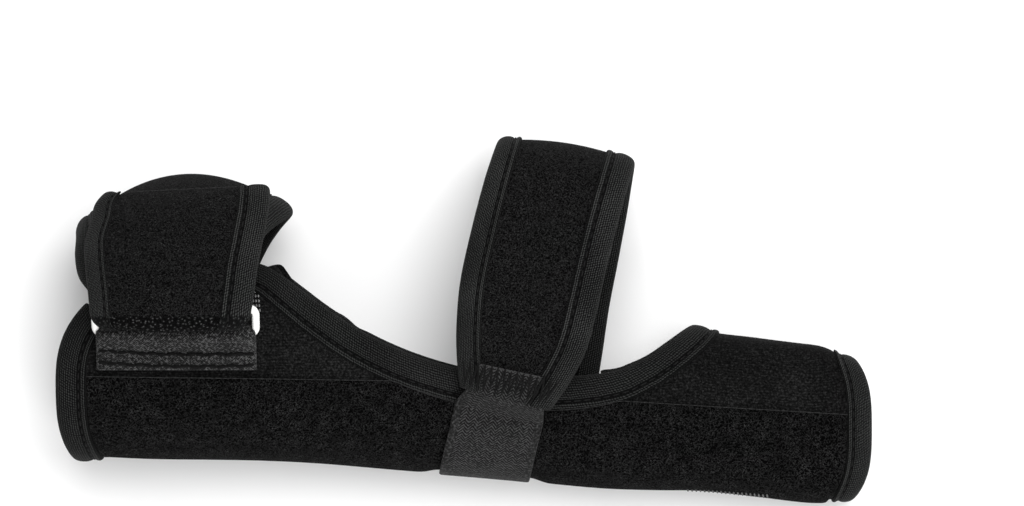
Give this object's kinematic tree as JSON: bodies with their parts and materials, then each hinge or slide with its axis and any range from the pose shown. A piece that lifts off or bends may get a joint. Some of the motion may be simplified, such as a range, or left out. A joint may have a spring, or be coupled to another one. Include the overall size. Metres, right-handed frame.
{
  "type": "boxer fracture splint",
  "caption": "Padded right-hand gutter splint round the little-finger side of the forearm and hand, closing into a finger sleeve, with a wrist strap through a ring and a hand strap.",
  "frame": {"origin": "middle of the footprint, on the surface that the palm side lies on", "axes": "+X towards the fingertips, +Y towards the thumb side, +Z out of the back of the hand"},
  "size_m": [0.232, 0.1052, 0.0653],
  "materials": {
    "laminate": "matt black knit on foam",
    "loop_pile": "black loop pile",
    "strap_cloth": "black brushed loop cloth",
    "binding_tape": "black ribbed knit tape",
    "grey_webbing": "dark grey woven tape",
    "ring_plastic": "white, smooth"
  },
  "bodies": {
    "root": {"shell": "laminate", "loop_strip": "loop_pile", "opening_binding": "binding_tape", "thenar_binding": "binding_tape", "forearm_binding": "binding_tape", "finger_binding": "binding_tape", "hand_strap": "strap_cloth", "hand_strap_wrist_binding": "binding_tape", "hand_strap_finger_binding": "binding_tape", "hook_tab": "grey_webbing", "wrist_strap": "strap_cloth", "wrist_strap_forearm_binding": "binding_tape", "wrist_strap_hand_binding": "binding_tape", "ring": "ring_plastic", "ring_tab": "grey_webbing"}
  },
  "joints": []
}
